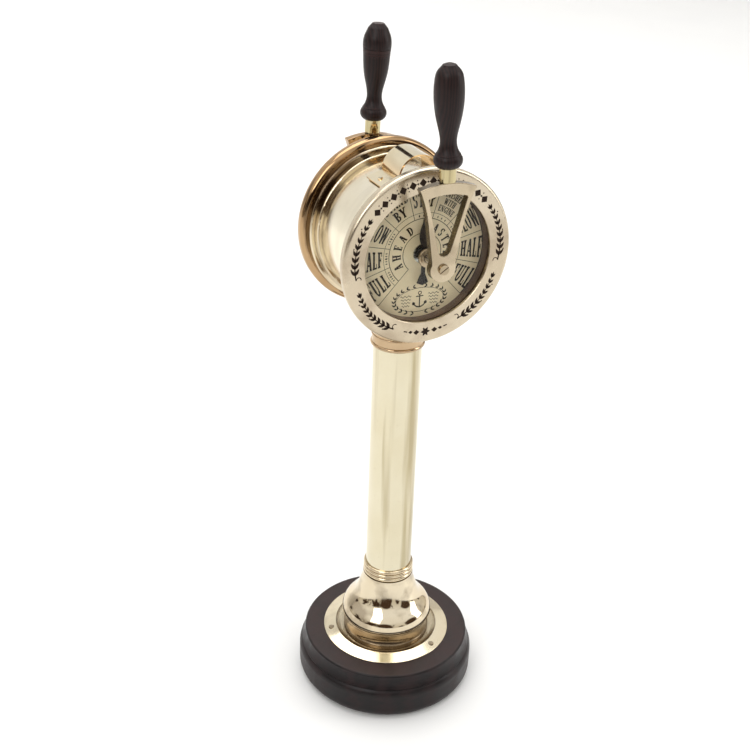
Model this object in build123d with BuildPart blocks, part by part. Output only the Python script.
"""A double-faced ship's engine order telegraph on a brass column with a turned wood base.

Frame: Z up, origin on the floor under the middle of the base. The drum's axis runs along Y and the
front dial faces -Y. All sizes are in millimetres.
"""

from build123d import *
import os
from math import cos, radians, sin

os.makedirs("parts", exist_ok=True)

# ------------------------------------------------------------------ driving dimensions: the stand
base_radius = 126.0  # widest part of the lower tier
base_top_radius = 118.0  # side of the upper tier under its rounded edge
base_top = 70.0  # top of the wood above the floor
base_shoulder = 48.5  # groove between the two tiers
felt_radius = 112.0
felt_thickness = 2.0
rod_radius = 5.0  # tie rod that clamps the whole stand
nut_recess_radius = 17.0
nut_recess_depth = 16.0
flange_radius = 90.0
flange_lip_radius = 73.0  # raised inner edge of the flange
flange_lip_height = 5.6
flange_floor = 2.5  # thickness under the foot
flange_screw_circle = 81.5
flange_screw_angles = (-62, 53, 168)
flange_screw_hole = 2.0
foot_radius = 64.2
foot_lip = 101.0  # height of the foot's widest edge
foot_top = 168.0
column_radius = 32.0
column_wall = 2.0
column_seat = 154.0  # where the tube stands inside the foot
column_top = 546.0
collar_radius = 35.3
lower_collar_top = 186.0
upper_collar_bottom = 529.0
upper_collar_radius = 34.4

# ------------------------------------------------------------------ driving dimensions: the head
axis_height = 673.0  # drum axis above the floor
drum_radius = 90.4
drum_wall = 2.5
drum_half = 46.0  # half the shell's length
bezel_radius = 111.2
bezel_opening = 83.4
bezel_back = 58.2  # distances along the drum axis from the middle of the head, outwards
bezel_face = 74.2
glass_back = 67.2
glass_front = 70.2
dial_back = 52.2
dial_front = 54.2
recess_radius = 88.2  # bore that holds the glass, the spacer and the dial
step_one_radius = 102.4
step_two_radius = 96.5
step_between = 50.2
step_end = 40.7
hood_radius = 27.5  # outside of the arch on top of the drum
hood_centre = 89.5  # height of the arch's centre above the drum axis
hood_sheet = 2.0
hood_front = 39.0  # the hood stands over the front half of the drum: distances towards the front dial
hood_back = -7.0
hood_tab_angle = 17.5  # where the flat tabs touch the drum, from the top of the drum
hood_tab_length = 22.2
hood_screw_reach = 12.0  # from the line where a tab touches the drum
hood_tab_root = 1.2  # the tab runs this far into the arch's wall
hood_screw_front = 14.0  # the screws stand this far in front of the head's middle

# ------------------------------------------------------------------ driving dimensions: the movement
spindle_radius = 6.0
running_gap = 0.05  # radial clearance of a running fit
bracket_half = 9.0  # half the thickness of the bearing bracket
wheel_plane = 33.0  # star wheel, hammer and click spring all lie in this layer
wheel_thickness = 4.0
wheel_tip_radius = 16.0
wheel_root_radius = 12.5
wheel_teeth = 12
gong_radius = 44.0
gong_wall = 1.5
gong_rim = 30.0
hammer_pivot = (60.0, -18.0)
hammer_head = (46.8, 24.9)
hammer_head_radius = 6.0
click_post_place = (-21.3, -60.0)
pin_radius = 3.0

# ------------------------------------------------------------------ driving dimensions: the levers
lever_back = 99.8
lever_front = 110.8
lever_hub_radius = 16.6
lever_rim_outer = 104.3
lever_rim_inner = 90.6
lever_rim_angle = 20.3  # half the angle that the rim spans
window_half_angle = 16.3
window_bottom = 16.0
throat = 7.4  # half the window's width just above its rounded bottom
ferrule_radius = 9.9
ferrule_length = 17.0
grip_shoulders = {
    "front": ((15.9, 101.5), (12.6, 109.5), (8.2, 114.4)),
    "rear": ((16.3, 104.0), (12.7, 112.5)),
}
grip_crowns = {"front": (3.2, 116.8), "rear": (7.3, 119.0)}  # the flat top's radius and height
grip_grooves = {"front": (), "rear": (80.5, 83.5, 88.5)}
grip_rod_radius = 4.0
lever_turns = {"front": 0.9, "rear": -2.2}  # degrees from upright, clockwise seen from that face
grip_leans = {"front": -3.6, "rear": 0.5}  # lean of each grip on its own lever

flange_screw_places = [
    (flange_screw_circle * cos(radians(angle)), flange_screw_circle * sin(radians(angle)))
    for angle in flange_screw_angles
]
head_plane = Plane(origin=(0, 0, axis_height), x_dir=(1, 0, 0), z_dir=(0, -1, 0))
rear_plane = Plane(origin=(0, 0, axis_height), x_dir=(-1, 0, 0), z_dir=(0, 1, 0))
vertical_axis = Axis.Z


def finish(builder, name):
    """Labels a finished piece and writes its STEP file."""
    builder.part.label = name
    export_step(builder.part, f"parts/{name}.step")


def polar(radius, angle):
    """A point of the head plane at a radius and an angle from the top, clockwise from the front."""
    return (radius * sin(radians(angle)), radius * cos(radians(angle)))


# ==================================================================== the stand

with BuildPart() as wood_base:
    with BuildSketch(Plane.XZ):
        with BuildLine():
            foot_edge = TangentArc((base_radius, 15), (118, felt_thickness), tangent=(0, -1))
            tier_side = Line((base_radius, 15), (base_radius, 38))
            shoulder = TangentArc(tier_side @ 1, (121.6, base_shoulder - 1), tangent=(0, 1))
            groove = Line(shoulder @ 1, (122.4, base_shoulder + 1))
            cove = ThreePointArc(groove @ 1, (119.3, 57), (base_top_radius, base_top - 3.5))
            top_edge = ThreePointArc(cove @ 1, (117.2, base_top - 0.9), (115, base_top))
            Polyline(top_edge @ 1, (0, base_top), (0, felt_thickness), foot_edge @ 1)
        make_face()
    revolve(axis=vertical_axis)
    with Locations((0, 0, felt_thickness)):
        Hole(rod_radius + 0.5)
    with BuildSketch(Plane.XY.offset(felt_thickness)):
        Circle(nut_recess_radius)
    extrude(amount=nut_recess_depth, mode=Mode.SUBTRACT)
    with BuildSketch(Plane.XY.offset(base_top)):
        with Locations(*flange_screw_places):
            Circle(flange_screw_hole)
    extrude(amount=-20, mode=Mode.SUBTRACT)
finish(wood_base, "wood_base")

with BuildPart() as felt_pad:
    with BuildSketch():
        Circle(felt_radius)
        Circle(nut_recess_radius + 0.5, mode=Mode.SUBTRACT)
    extrude(amount=felt_thickness)
finish(felt_pad, "felt_pad")

recess_top = felt_thickness + nut_recess_depth
washer_thickness = 2.0
nut_height = 8.0

with BuildPart() as tie_washer:
    with BuildSketch(Plane.XY.offset(recess_top)):
        Circle(14)
        Circle(rod_radius, mode=Mode.SUBTRACT)
    extrude(amount=-washer_thickness)
finish(tie_washer, "tie_washer")

with BuildPart() as tie_nut:
    with BuildSketch(Plane.XY.offset(recess_top - washer_thickness)):
        RegularPolygon(9.5, 6)
        Circle(rod_radius, mode=Mode.SUBTRACT)
    extrude(amount=-nut_height)
finish(tie_nut, "tie_nut")

tie_rod_bottom = 5.0
tie_rod_top = axis_height - 58.0

with BuildPart() as tie_rod:
    with BuildSketch(Plane.XY.offset(tie_rod_bottom)):
        Circle(rod_radius)
    extrude(amount=tie_rod_top - tie_rod_bottom)
    chamfer(tie_rod.edges().filter_by(GeomType.CIRCLE), 0.8)
finish(tie_rod, "tie_rod")

foot_seat = base_top + flange_floor
screw_seat = base_top + 3.0

with BuildPart() as foot_flange:
    with BuildSketch(Plane.XZ):
        with BuildLine():
            bottom = Line((40, base_top), (flange_radius, base_top))
            rim_middle = (flange_radius + 0.6, base_top + 0.8)
            rim = ThreePointArc(bottom @ 1, rim_middle, (flange_radius, base_top + 1.5))
            cone = Line(rim @ 1, (flange_lip_radius + 1, base_top + flange_lip_height))
            lip = ThreePointArc(
                cone @ 1,
                (flange_lip_radius, base_top + flange_lip_height - 0.2),
                (flange_lip_radius - 0.6, base_top + flange_lip_height - 1),
            )
            well = ThreePointArc(lip @ 1, (70.2, base_top + 3.4), (67, foot_seat))
            Polyline(well @ 1, (40, foot_seat), (40, base_top))
        make_face()
    revolve(axis=vertical_axis)
    with BuildSketch(Plane.XY.offset(screw_seat)):
        with Locations(*flange_screw_places):
            Circle(4)
    extrude(amount=5, mode=Mode.SUBTRACT)
    with BuildSketch(Plane.XY.offset(base_top)):
        with Locations(*flange_screw_places):
            Circle(flange_screw_hole)
    extrude(amount=5, mode=Mode.SUBTRACT)
finish(foot_flange, "foot_flange")

with BuildPart() as flange_screws:
    for place, angle in zip(flange_screw_places, flange_screw_angles):
        with BuildSketch(Plane.XY.offset(base_top - 18)):
            with Locations(place):
                Circle(flange_screw_hole)
        extrude(amount=screw_seat - base_top + 18)
        with BuildSketch(Plane.XY.offset(screw_seat)):
            with Locations(place):
                Circle(3.8)
        extrude(amount=1.7, taper=12)
        with BuildSketch(Plane.XY.offset(screw_seat + 1.7)):
            with Locations(place):
                Rectangle(9, 0.9, rotation=angle * 2)
        extrude(amount=-0.9, mode=Mode.SUBTRACT)
finish(flange_screws, "flange_screws")

with BuildPart() as bell_foot:
    with BuildSketch(Plane.XZ):
        with BuildLine():
            ring = Polyline((56, foot_seat), (60.6, foot_seat), (60.6, foot_seat + 2))
            bead = ThreePointArc(ring @ 1, (61.4, foot_seat + 3.6), (60.2, foot_seat + 5))
            undercut = ThreePointArc(bead @ 1, (58.9, foot_lip - 14), (foot_radius - 0.8, foot_lip - 1.2))
            lip = ThreePointArc(undercut @ 1, (foot_radius - 0.1, foot_lip - 0.8), (foot_radius, foot_lip))
            bowl = ThreePointArc(lip @ 1, (62.2, 111.5), (56.5, 120))
            flare = Spline(
                bowl @ 1,
                (48.6, 128.5),
                (41.2, 144.5),
                (36.4, 160),
                (35.4, foot_top),
                tangents=(bowl % 1, (0, 1)),
            )
            socket = Polyline(
                flare @ 1,
                (column_radius, foot_top),
                (column_radius, column_seat),
                (27, column_seat),
                (27, 146),
            )
            ThreePointArc(socket @ 1, (36, 124), (56, 102))
            Line((56, 102), ring @ 0)
        make_face()
    revolve(axis=vertical_axis)
finish(bell_foot, "bell_foot")

collar_beads = 3
collar_bead = (lower_collar_top - foot_top) / collar_beads

with BuildPart() as lower_collar:
    with BuildSketch(Plane.XZ):
        with BuildLine():
            inner = Line((column_radius, foot_top), (column_radius, lower_collar_top))
            top = Line(inner @ 1, (collar_radius - 2, lower_collar_top))
            edge = top @ 1
            for bead_number in range(collar_beads):
                low = lower_collar_top - (bead_number + 1) * collar_bead
                bead = ThreePointArc(edge, (collar_radius, low + collar_bead / 2), (collar_radius - 2, low))
                edge = bead @ 1
            Line(edge, inner @ 0)
        make_face()
    revolve(axis=vertical_axis)
finish(lower_collar, "lower_collar")

with BuildPart() as column_tube:
    with BuildSketch(Plane.XY.offset(column_seat)):
        Circle(column_radius)
        Circle(column_radius - column_wall, mode=Mode.SUBTRACT)
    extrude(amount=column_top - column_seat)
finish(column_tube, "column_tube")

with BuildPart() as upper_collar:
    with BuildSketch(Plane.XZ):
        with BuildLine():
            inner = Line((column_radius, column_top), (column_radius, upper_collar_bottom))
            low_bead = ThreePointArc(
                inner @ 1,
                (upper_collar_radius + 1.4, upper_collar_bottom + 2.6),
                (upper_collar_radius - 0.4, upper_collar_bottom + 5.2),
            )
            band = Line(low_bead @ 1, (upper_collar_radius - 0.4, column_top - 2.5))
            bead_middle = (upper_collar_radius + 0.6, column_top - 1.2)
            top_bead = ThreePointArc(band @ 1, bead_middle, (34, column_top))
            Line(top_bead @ 1, inner @ 0)
        make_face()
    revolve(axis=vertical_axis)
finish(upper_collar, "upper_collar")

saddle_spigot = 16.0

with BuildPart() as saddle:
    with BuildSketch(Plane.XZ):
        with BuildLine():
            spigot = Polyline(
                (rod_radius + 0.5, column_top - saddle_spigot),
                (column_radius - column_wall, column_top - saddle_spigot),
                (column_radius - column_wall, column_top),
                (34, column_top),
                (34, column_top + 3),
            )
            neck = ThreePointArc(spigot @ 1, (31.4, column_top + 14), (36.5, column_top + 28))
            flare = ThreePointArc(neck @ 1, (41, column_top + 34), (49, column_top + 41))
            Polyline(flare @ 1, (49, axis_height - 70), (rod_radius + 0.5, axis_height - 70), spigot @ 0)
        make_face()
    revolve(axis=vertical_axis)
    with BuildSketch(head_plane):
        Circle(drum_radius)
    extrude(amount=step_end, both=True, mode=Mode.SUBTRACT)
    for direction in (1, -1):
        with BuildSketch(head_plane.offset(direction * step_end)):
            Circle(step_two_radius)
        extrude(amount=direction * 20, mode=Mode.SUBTRACT)
finish(saddle, "saddle")

# ==================================================================== the middle of the head


def tab_plane(side_sign):
    """A flat tab's underside: x along the drum's axis towards the back, origin on the screw's axis."""
    turn = radians(side_sign * hood_tab_angle)
    outward = Vector(sin(turn), 0, cos(turn))
    along = Vector(cos(turn), 0, -sin(turn)) * side_sign
    screw_place = Vector(0, 0, axis_height) + outward * drum_radius + along * hood_screw_reach
    return Plane(origin=screw_place, x_dir=(0, 1, 0), z_dir=outward)


hood_tabs = [tab_plane(-1), tab_plane(1)]
hood_screw_radius = 1.5

with BuildPart() as drum_shell:
    with BuildSketch(head_plane):
        Circle(drum_radius)
        Circle(drum_radius - drum_wall, mode=Mode.SUBTRACT)
    extrude(amount=drum_half, both=True)
    with BuildSketch(Plane.XY.offset(axis_height - drum_radius - 5)):
        Circle(rod_radius + 0.5)
    extrude(amount=12, mode=Mode.SUBTRACT)
    for tab in hood_tabs:
        with BuildSketch(tab.offset(-6)):
            with Locations((-hood_screw_front, 0)):
                Circle(hood_screw_radius)
        extrude(amount=8, mode=Mode.SUBTRACT)
finish(drum_shell, "drum_shell")

with BuildPart() as top_hood:
    with BuildSketch(head_plane.offset(hood_back)):
        with Locations((0, hood_centre)):
            Circle(hood_radius)
    extrude(amount=hood_front - hood_back)
    for tab, side_sign in zip(hood_tabs, (-1, 1)):
        with BuildSketch(tab):
            middle = hood_tab_length / 2 - hood_screw_reach - hood_tab_root
            with Locations((-(hood_front + hood_back) / 2, -side_sign * middle)):
                Rectangle(hood_front - hood_back, hood_tab_length)
        extrude(amount=hood_sheet)
    with BuildSketch(head_plane.offset(hood_back)):
        with Locations((0, hood_centre)):
            Circle(hood_radius - hood_sheet)
        Circle(drum_radius)
    extrude(amount=hood_front - hood_back, mode=Mode.SUBTRACT)
    for tab in hood_tabs:
        with BuildSketch(tab):
            with Locations((-hood_screw_front, 0)):
                Circle(hood_screw_radius)
        extrude(amount=hood_sheet, mode=Mode.SUBTRACT)
finish(top_hood, "top_hood")

hood_screw_head = 1.6

with BuildPart() as hood_screws:
    for tab in hood_tabs:
        with BuildSketch(tab.offset(-6)):
            with Locations((-hood_screw_front, 0)):
                Circle(hood_screw_radius)
        extrude(amount=hood_sheet + 6)
        with BuildSketch(tab.offset(hood_sheet)):
            with Locations((-hood_screw_front, 0)):
                Circle(3.2)
        extrude(amount=hood_screw_head, taper=14)
        with BuildSketch(tab.offset(hood_sheet + hood_screw_head)):
            with Locations((-hood_screw_front, 0)):
                Rectangle(8, 0.8, rotation=35)
        extrude(amount=-0.8, mode=Mode.SUBTRACT)
finish(hood_screws, "hood_screws")

boss_radius = 13.0
boss_face = 12.4
gong_seat_radius = 9.0
boss_end = 20.0

with BuildPart() as bearing_bracket:
    with BuildSketch(head_plane):
        with Locations((0, -60)):
            Rectangle(56, 64)
        with Locations((0, -18)):
            Rectangle(132, 20)
        with Locations((0, -6)):
            Rectangle(36, 44)
        Circle(drum_radius - drum_wall, mode=Mode.INTERSECT)
    extrude(amount=bracket_half, both=True)
    with BuildSketch(head_plane):
        Circle(boss_radius)
    extrude(amount=boss_face, both=True)
    with BuildSketch(head_plane):
        Circle(gong_seat_radius)
    extrude(amount=boss_end, both=True)
    with BuildSketch(head_plane):
        Circle(spindle_radius + running_gap)
        for sign in (1, -1):
            with Locations((sign * hammer_pivot[0], hammer_pivot[1])):
                Circle(pin_radius)
            with Locations((sign * click_post_place[0], click_post_place[1])):
                Circle(pin_radius)
    extrude(amount=boss_end, both=True, mode=Mode.SUBTRACT)
    with BuildSketch(Plane.XY.offset(axis_height - drum_radius)):
        Circle(rod_radius)
    extrude(amount=tie_rod_top - axis_height + drum_radius, mode=Mode.SUBTRACT)
finish(bearing_bracket, "bearing_bracket")

pin_head = wheel_plane + wheel_thickness + 0.4  # where the heads of the pins and posts begin

with BuildPart() as gong_nuts:
    for face in (head_plane, rear_plane):
        with BuildSketch(face.offset(boss_face + gong_wall)):
            RegularPolygon(14, 6)
            Circle(gong_seat_radius, mode=Mode.SUBTRACT)
        extrude(amount=4)
finish(gong_nuts, "gong_nuts")

with BuildPart() as hammer_pins:
    for face in (head_plane, rear_plane):
        with BuildSketch(face):
            with Locations(hammer_pivot):
                Circle(pin_radius)
        extrude(amount=pin_head)
        with BuildSketch(face.offset(pin_head)):
            with Locations(hammer_pivot):
                Circle(5)
        extrude(amount=1.6)
finish(hammer_pins, "hammer_pins")

with BuildPart() as click_posts:
    for face in (head_plane, rear_plane):
        with BuildSketch(face):
            with Locations(click_post_place):
                Circle(pin_radius)
        extrude(amount=pin_head)
        with BuildSketch(face.offset(pin_head)):
            with Locations(click_post_place):
                Circle(5)
        extrude(amount=1.6)
finish(click_posts, "click_posts")

# ==================================================================== both faces of the head


for side, sign in (("front", 1), ("rear", -1)):
    outward = (0, -sign, 0)
    face = head_plane if sign == 1 else rear_plane
    half_section = Plane(origin=(0, 0, axis_height), x_dir=(sign, 0, 0), z_dir=(0, 0, -1))
    drum_axis = Axis((0, 0, axis_height), outward)

    # ---- casing
    with BuildPart() as step_ring:
        with BuildSketch(half_section):
            with BuildLine():
                low_step = Line((drum_radius, step_end), (step_two_radius - 2, step_end))
                low_round = ThreePointArc(
                    low_step @ 1, (step_two_radius - 0.6, step_end + 0.6), (step_two_radius, step_end + 2)
                )
                riser = Polyline(
                    low_round @ 1, (step_two_radius, step_between), (step_one_radius - 2, step_between)
                )
                high_round = ThreePointArc(
                    riser @ 1,
                    (step_one_radius - 0.6, step_between + 0.6),
                    (step_one_radius, step_between + 2),
                )
                Polyline(
                    high_round @ 1,
                    (step_one_radius, bezel_back),
                    (recess_radius + 3.8, bezel_back),
                    (recess_radius + 3.8, bezel_back + 4),
                    (recess_radius, bezel_back + 4),
                    (recess_radius, dial_back),
                    (84, dial_back),
                    (84, drum_half),
                    (drum_radius, drum_half),
                    low_step @ 0,
                )
            make_face()
        revolve(axis=drum_axis)
    finish(step_ring, f"{side}_step_ring")

    with BuildPart() as bezel:
        with BuildSketch(half_section):
            with BuildLine():
                back = Line((recess_radius + 3.8, bezel_back), (104.3, bezel_back))
                swell = ThreePointArc(back @ 1, (109.2, bezel_back + 2), (bezel_radius, bezel_back + 7))
                rim = Line(swell @ 1, (bezel_radius, bezel_face - 4.5))
                shoulder = ThreePointArc(rim @ 1, (bezel_radius - 1.4, bezel_face - 1.3), (106.4, bezel_face))
                Polyline(
                    shoulder @ 1,
                    (bezel_opening + 0.8, bezel_face),
                    (bezel_opening, bezel_face - 0.8),
                    (bezel_opening, glass_front),
                    (recess_radius, glass_front),
                    (recess_radius, bezel_back + 4),
                    (recess_radius + 3.8, bezel_back + 4),
                    back @ 0,
                )
            make_face()
        revolve(axis=drum_axis)
    finish(bezel, f"{side}_bezel")

    with BuildPart() as glass:
        with BuildSketch(face.offset(glass_back)):
            Circle(recess_radius)
            Circle(10, mode=Mode.SUBTRACT)
        extrude(amount=glass_front - glass_back)
    finish(glass, f"{side}_glass")

    with BuildPart() as glass_bush:
        with BuildSketch(face.offset(glass_back - 1)):
            Circle(10)
            Circle(spindle_radius + 0.6, mode=Mode.SUBTRACT)
        extrude(amount=glass_front - glass_back + 1)
        with BuildSketch(face.offset(glass_front)):
            Circle(12.4)
            Circle(spindle_radius + 0.6, mode=Mode.SUBTRACT)
        extrude(amount=3.4)
        fillet(glass_bush.edges().group_by(Axis((0, 0, 0), outward))[-1].sort_by(SortBy.RADIUS)[-1], 1.4)
    finish(glass_bush, f"{side}_glass_bush")

    with BuildPart() as spacer_ring:
        with BuildSketch(face.offset(dial_front)):
            Circle(recess_radius)
            Circle(bezel_opening, mode=Mode.SUBTRACT)
        extrude(amount=glass_back - dial_front)
    finish(spacer_ring, f"{side}_spacer_ring")

    with BuildPart() as dial:
        with BuildSketch(face.offset(dial_back)):
            Circle(recess_radius)
            Circle(9, mode=Mode.SUBTRACT)
        extrude(amount=dial_front - dial_back)
    finish(dial, f"{side}_dial")

    with BuildPart() as dial_bush:
        with BuildSketch(face.offset(drum_half)):
            Circle(9)
            Circle(spindle_radius + running_gap, mode=Mode.SUBTRACT)
        extrude(amount=dial_front - drum_half)
        with BuildSketch(face.offset(dial_front)):
            Circle(12)
            Circle(spindle_radius + running_gap, mode=Mode.SUBTRACT)
        extrude(amount=1.8)
    finish(dial_bush, f"{side}_dial_bush")

    # ---- gong, click spring and hammer, fixed to the bracket
    with BuildPart() as gong:
        with BuildSketch(half_section):
            with BuildLine():
                seat = Line((gong_seat_radius, boss_face), (33, boss_face))
                bowl = ThreePointArc(seat @ 1, (40.5, boss_face + 5), (gong_radius, gong_rim))
                lip = Line(bowl @ 1, (gong_radius - gong_wall, gong_rim))
                inside = ThreePointArc(lip @ 1, (39.2, boss_face + 6), (32.6, boss_face + gong_wall))
                Polyline(inside @ 1, (gong_seat_radius, boss_face + gong_wall), seat @ 0)
            make_face()
        revolve(axis=drum_axis)
    finish(gong, f"{side}_gong")

    spring_thickness = 0.8
    eye_radius = 4.5
    spring_right = click_post_place[0] + eye_radius

    with BuildPart() as click_spring:
        with BuildSketch(face.offset(wheel_plane)):
            with Locations(click_post_place):
                Circle(eye_radius)
            with Locations((spring_right - spring_thickness / 2, click_post_place[1] / 2)):
                Rectangle(spring_thickness, -click_post_place[1])
            with Locations(click_post_place):
                Circle(pin_radius, mode=Mode.SUBTRACT)
        extrude(amount=wheel_thickness)
    finish(click_spring, f"{side}_click_spring")

    with BuildPart() as hammer_spring:
        with BuildSketch(face.offset(bracket_half + 10)):
            with Locations(hammer_pivot):
                Circle(5.2)
                Circle(pin_radius + 0.2, mode=Mode.SUBTRACT)
        extrude(amount=wheel_plane - bracket_half - 11)
        with BuildSketch(face.offset(bracket_half)):
            with Locations((hammer_pivot[0] - 4.2, hammer_pivot[1])):
                Circle(0.6)
        extrude(amount=11)
    finish(hammer_spring, f"{side}_hammer_spring")

    tail_reach = (Vector(*hammer_pivot).length - 16.9) / Vector(*hammer_pivot).length
    hammer_tail = (hammer_pivot[0] * (1 - tail_reach), hammer_pivot[1] * (1 - tail_reach))

    with BuildPart() as hammer:
        with BuildSketch(face.offset(wheel_plane)):
            with BuildLine():
                Polyline(hammer_tail, hammer_pivot, hammer_head)
            trace(line_width=5)
            with Locations(hammer_pivot):
                Circle(6)
            with Locations(hammer_pivot):
                Circle(pin_radius + running_gap, mode=Mode.SUBTRACT)
        extrude(amount=wheel_thickness)
        with BuildSketch(face.offset(wheel_plane - 9)):
            with Locations(hammer_head):
                Circle(hammer_head_radius)
        extrude(amount=9 + wheel_thickness)
    finish(hammer, f"{side}_hammer")

    # ---- what turns with the lever
    turn = lever_turns[side]
    lever = Plane(
        origin=(0, 0, axis_height), x_dir=(sign * cos(radians(turn)), 0, -sin(radians(turn))), z_dir=outward
    )
    screw_depth = 12.5
    hub_bore_end = lever_front - 2.5

    with BuildPart() as spindle:
        with BuildSketch(lever.offset(1)):
            Circle(spindle_radius)
        extrude(amount=hub_bore_end - 1)
        with BuildSketch(lever.offset(hub_bore_end)):
            Circle(3)
        extrude(amount=-(screw_depth - 2.5), mode=Mode.SUBTRACT)
    finish(spindle, f"{side}_spindle")

    with BuildPart() as star_wheel:
        with BuildSketch(lever.offset(wheel_plane)):
            Circle(wheel_root_radius)
            with PolarLocations(0, wheel_teeth, start_angle=90 / wheel_teeth * 2):
                Polygon((11, -3.1), (wheel_tip_radius, -0.5), (wheel_tip_radius, 0.5), (11, 3.1), align=None)
            Circle(wheel_tip_radius, mode=Mode.INTERSECT)
            Circle(spindle_radius, mode=Mode.SUBTRACT)
        extrude(amount=wheel_thickness)
        with BuildSketch(lever.offset(wheel_plane + wheel_thickness)):
            Circle(9)
            Circle(spindle_radius, mode=Mode.SUBTRACT)
        extrude(amount=4)
    finish(star_wheel, f"{side}_star_wheel")

    pointer_back = 59.4
    pointer_thickness = 1.4

    with BuildPart() as pointer:
        with BuildSketch(lever.offset(pointer_back)):
            Circle(9)
            with BuildLine():
                right_edge = Spline((2.4, 6), (7.6, 25), (3.2, 43), (1.6, 57), tangents=((0.3, 1), (-0.1, 1)))
                tip = Line(right_edge @ 1, (0, 62))
                left_tip = Line(tip @ 1, (-1.6, 57))
                left_edge = Spline(
                    left_tip @ 1, (-3.2, 43), (-7.6, 25), (-2.4, 6), tangents=((-0.1, -1), (0.3, -1))
                )
                Line(left_edge @ 1, right_edge @ 0)
            make_face()
            tail_right = [(2.2, 0), (2.6, -24), (7.6, -36)]
            tail_left = [(-x, y) for x, y in reversed(tail_right)]
            Polygon(*tail_right, (0, -39.5), *tail_left, align=None)
            Circle(spindle_radius, mode=Mode.SUBTRACT)
        extrude(amount=pointer_thickness)
        with BuildSketch(lever.offset(pointer_back)):
            Circle(8.6)
            Circle(spindle_radius, mode=Mode.SUBTRACT)
        extrude(amount=3.4)
    finish(pointer, f"{side}_pointer")

    grip_base = lever.from_local_coords((0, lever_rim_outer, (lever_back + lever_front) / 2))
    grip_turn = turn + grip_leans[side]
    grip_plane = Plane(
        origin=grip_base, x_dir=(sign * cos(radians(grip_turn)), 0, -sin(radians(grip_turn))), z_dir=outward
    )
    grip_axis = Axis(grip_base, grip_plane.y_dir)

    with BuildPart() as lever_frame:
        with BuildSketch(lever.offset(lever_back)) as lever_outline:
            with BuildLine():
                right_arm = Line((14.6, 7), (21.9, 49))
                right_flare = ThreePointArc(right_arm @ 1, (27, 73), polar(lever_rim_outer, lever_rim_angle))
                rim = ThreePointArc(
                    right_flare @ 1, (0, lever_rim_outer), polar(lever_rim_outer, -lever_rim_angle)
                )
                left_flare = ThreePointArc(rim @ 1, (-27, 73), (-21.9, 49))
                Polyline(left_flare @ 1, (-14.6, 7), right_arm @ 0)
            make_face()
            Circle(lever_hub_radius)
            fillet(lever_outline.vertices().filter_by_position(Axis.Y, 5, 12), 8)
            with BuildLine():
                right_side = Line((throat, window_bottom + 5), polar(lever_rim_inner, window_half_angle))
                window_top = ThreePointArc(
                    right_side @ 1, (0, lever_rim_inner), polar(lever_rim_inner, -window_half_angle)
                )
                left_side = Line(window_top @ 1, (-throat, window_bottom + 5))
                ThreePointArc(left_side @ 1, (0, window_bottom), right_side @ 0)
            make_face(mode=Mode.SUBTRACT)
            fillet(lever_outline.vertices().filter_by_position(Axis.Y, 80, 95), 1.5)
            fillet(lever_outline.vertices().filter_by_position(Axis.Y, 18, 25), 4)
        extrude(amount=lever_front - lever_back)
        fillet(lever_frame.faces().filter_by(Axis((0, 0, 0), outward)).edges(), 0.9)
        with BuildSketch(lever.offset(lever_back)):
            Circle(spindle_radius)
        extrude(amount=hub_bore_end - lever_back, mode=Mode.SUBTRACT)
        with BuildSketch(lever.offset(hub_bore_end)):
            Circle(3)
        extrude(amount=lever_front - hub_bore_end, mode=Mode.SUBTRACT)
        with BuildSketch(grip_plane):
            with Locations((grip_rod_radius / 2, -2)):
                Rectangle(grip_rod_radius, 16)
        revolve(axis=grip_axis, mode=Mode.SUBTRACT)
    finish(lever_frame, f"{side}_lever_frame")

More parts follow.
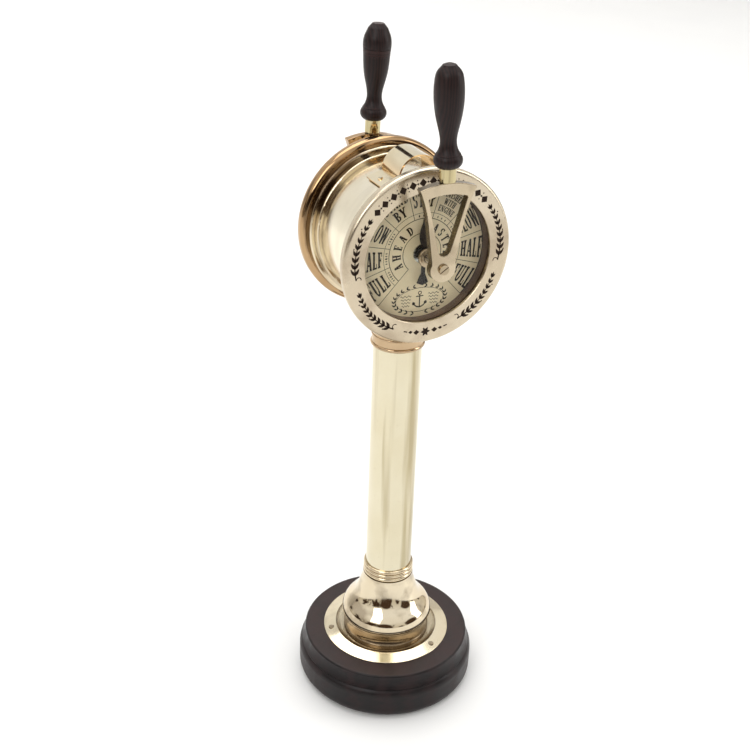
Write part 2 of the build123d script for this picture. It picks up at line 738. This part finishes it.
    with BuildPart() as hub_screw:
        with BuildSketch(lever.offset(lever_front)):
            Circle(6.6)
        extrude(amount=3.2, taper=8)
        with BuildSketch(lever.offset(lever_front + 3.2)):
            Rectangle(16, 1.3, rotation=35)
        extrude(amount=-1.4, mode=Mode.SUBTRACT)
        with BuildSketch(lever.offset(lever_front)):
            Circle(3)
        extrude(amount=-screw_depth)
    finish(hub_screw, f"{side}_hub_screw")

    with BuildPart() as ferrule:
        with BuildSketch(grip_plane):
            with BuildLine():
                Polyline(
                    (grip_rod_radius, 0.6),
                    (ferrule_radius - 0.6, 0.6),
                    (ferrule_radius, 1.2),
                    (ferrule_radius, ferrule_length),
                    (grip_rod_radius, ferrule_length),
                    (grip_rod_radius, 0.6),
                )
            make_face()
        revolve(axis=grip_axis)
    finish(ferrule, f"{side}_ferrule")

    rod_bottom = -10
    rod_top = 106

    with BuildPart() as grip_rod:
        with BuildSketch(grip_plane):
            with Locations((grip_rod_radius / 2, (rod_bottom + rod_top) / 2)):
                Rectangle(grip_rod_radius, rod_top - rod_bottom)
        revolve(axis=grip_axis)
    finish(grip_rod, f"{side}_grip_rod")

    crown_radius, crown_height = grip_crowns[side]
    crown_slope = 0.35 if side == "front" else 1.1

    with BuildPart() as grip:
        with BuildSketch(grip_plane):
            with BuildLine():
                base = Line((grip_rod_radius, ferrule_length), (10.5, ferrule_length))
                bulb = ThreePointArc(base @ 1, (16.9, ferrule_length + 9), (15, ferrule_length + 14.4))
                groove = ThreePointArc(bulb @ 1, (14.3, ferrule_length + 15), (14.5, ferrule_length + 15.8))
                body = Spline(
                    groove @ 1,
                    (9.7, ferrule_length + 28),
                    (11.9, ferrule_length + 45),
                    (15, ferrule_length + 59),
                    (17.3, ferrule_length + 86),
                    *[(radius, ferrule_length + height) for radius, height in grip_shoulders[side]],
                    (crown_radius, ferrule_length + crown_height),
                    tangents=((-0.8, 1), (-1, crown_slope)),
                )
                Polyline(
                    body @ 1,
                    (0, ferrule_length + crown_height),
                    (0, rod_top),
                    (grip_rod_radius, rod_top),
                    base @ 0,
                )
            make_face()
        revolve(axis=grip_axis)
        for height in grip_grooves[side]:
            with BuildSketch(grip_plane):
                with Locations((17.8, ferrule_length + height)):
                    Rectangle(2, 0.8)
            revolve(axis=grip_axis, mode=Mode.SUBTRACT)
    finish(grip, f"{side}_grip")
